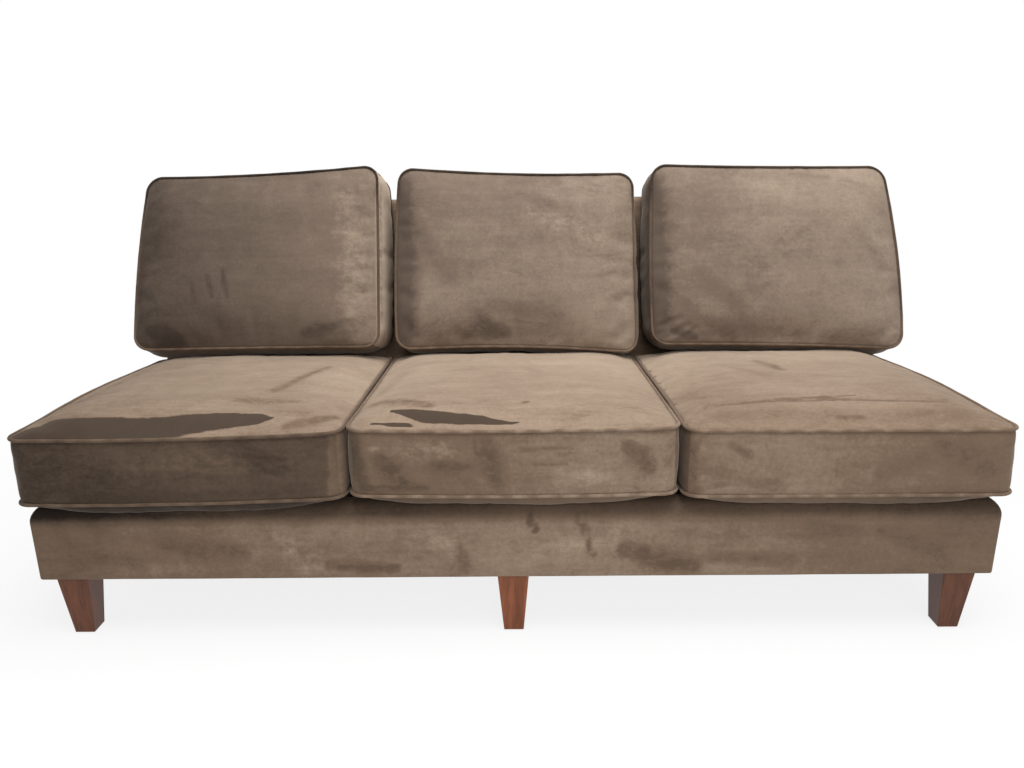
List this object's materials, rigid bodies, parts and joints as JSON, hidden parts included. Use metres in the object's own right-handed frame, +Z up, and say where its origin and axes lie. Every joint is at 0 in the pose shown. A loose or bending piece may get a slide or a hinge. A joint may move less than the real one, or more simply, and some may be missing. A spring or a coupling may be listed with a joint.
{
  "type": "armless sofa",
  "caption": "Armless upholstered sofa with loose piped seat and back cushions on a sprung wooden frame with tapered wooden legs.",
  "frame": {"origin": "on the floor, under the centre of the whole sofa's box", "axes": "+X to the right as seen from the front, +Y from the front to the back, +Z up"},
  "size_m": [1.9876, 0.9165, 0.9465],
  "materials": {
    "seat_velvet": "matte",
    "back_velvet": "matte",
    "frame_velvet": "matte",
    "piping_velvet": "matte",
    "cushion_fill": "matte",
    "padding": "matte",
    "lining_cloth": "matte",
    "webbing": "matte",
    "leg_wood": "satin",
    "frame_wood": "matte",
    "glide_nylon": "satin",
    "spring_wire": "satin",
    "plated_steel": "satin"
  },
  "bodies": {
    "frame": {"back_end_wadding": "padding", "back_lower_rails": "frame_wood", "back_pad": "padding", "back_straps": "webbing", "back_top_rail": "frame_wood", "corner_blocks": "frame_wood", "cross_rails": "frame_wood", "deck_cloth": "lining_cloth", "deck_pad": "padding", "dust_cover": "lining_cloth", "frame_screws": "plated_steel", "front_base_board": "frame_wood", "front_border_cover": "frame_velvet", "front_border_foam": "padding", "front_centre_leg": "leg_wood", "front_left_leg": "leg_wood", "front_rail": "frame_wood", "front_right_leg": "leg_wood", "inner_back_posts": "frame_wood", "inside_back_cover": "frame_velvet", "left_back_end_cover": "frame_velvet", "left_back_post": "frame_wood", "left_side_cover": "frame_velvet", "left_side_rail": "frame_wood", "leg_bolts": "plated_steel", "leg_glides": "glide_nylon", "leg_plate_screws": "plated_steel", "leg_plates": "plated_steel", "outside_back_cover": "frame_velvet", "rear_base_board": "frame_wood", "rear_centre_leg": "leg_wood", "rear_left_leg": "leg_wood", "rear_rail": "frame_wood", "rear_right_leg": "leg_wood", "right_back_end_cover": "frame_velvet", "right_back_post": "frame_wood", "right_side_cover": "frame_velvet", "right_side_rail": "frame_wood", "seat_springs": "spring_wire", "side_base_boards": "frame_wood", "side_border_foam": "padding", "spring_clips": "plated_steel"},
    "seat_cushion_left": {"seat_cushion_left_core": "cushion_fill", "seat_cushion_left_cover": "seat_velvet", "seat_cushion_left_piping": "piping_velvet"},
    "seat_cushion_centre": {"seat_cushion_centre_core": "cushion_fill", "seat_cushion_centre_cover": "seat_velvet", "seat_cushion_centre_piping": "piping_velvet"},
    "seat_cushion_right": {"seat_cushion_right_core": "cushion_fill", "seat_cushion_right_cover": "seat_velvet", "seat_cushion_right_piping": "piping_velvet"},
    "back_cushion_left": {"back_cushion_left_core": "cushion_fill", "back_cushion_left_cover": "back_velvet", "back_cushion_left_piping": "piping_velvet"},
    "back_cushion_centre": {"back_cushion_centre_core": "cushion_fill", "back_cushion_centre_cover": "back_velvet", "back_cushion_centre_piping": "piping_velvet"},
    "back_cushion_right": {"back_cushion_right_core": "cushion_fill", "back_cushion_right_cover": "back_velvet", "back_cushion_right_piping": "piping_velvet"}
  },
  "joints": [
    {"name": "seat_cushion_left_slide", "type": "slide", "parent": "frame", "child": "seat_cushion_left", "axis": [0, -0.9997, 0.0262], "range_m": [0, 0.75]},
    {"name": "seat_cushion_centre_slide", "type": "slide", "parent": "frame", "child": "seat_cushion_centre", "axis": [0, -0.9997, 0.0262], "range_m": [0, 0.75]},
    {"name": "seat_cushion_right_slide", "type": "slide", "parent": "frame", "child": "seat_cushion_right", "axis": [0, -0.9997, 0.0262], "range_m": [0, 0.75]},
    {"name": "back_cushion_left_lift", "type": "slide", "parent": "frame", "child": "back_cushion_left", "axis": [0, 0.2504, 0.9681], "range_m": [0, 0.5]},
    {"name": "back_cushion_centre_lift", "type": "slide", "parent": "frame", "child": "back_cushion_centre", "axis": [0, 0.2504, 0.9681], "range_m": [0, 0.5]},
    {"name": "back_cushion_right_lift", "type": "slide", "parent": "frame", "child": "back_cushion_right", "axis": [0, 0.2504, 0.9681], "range_m": [0, 0.5]}
  ]
}
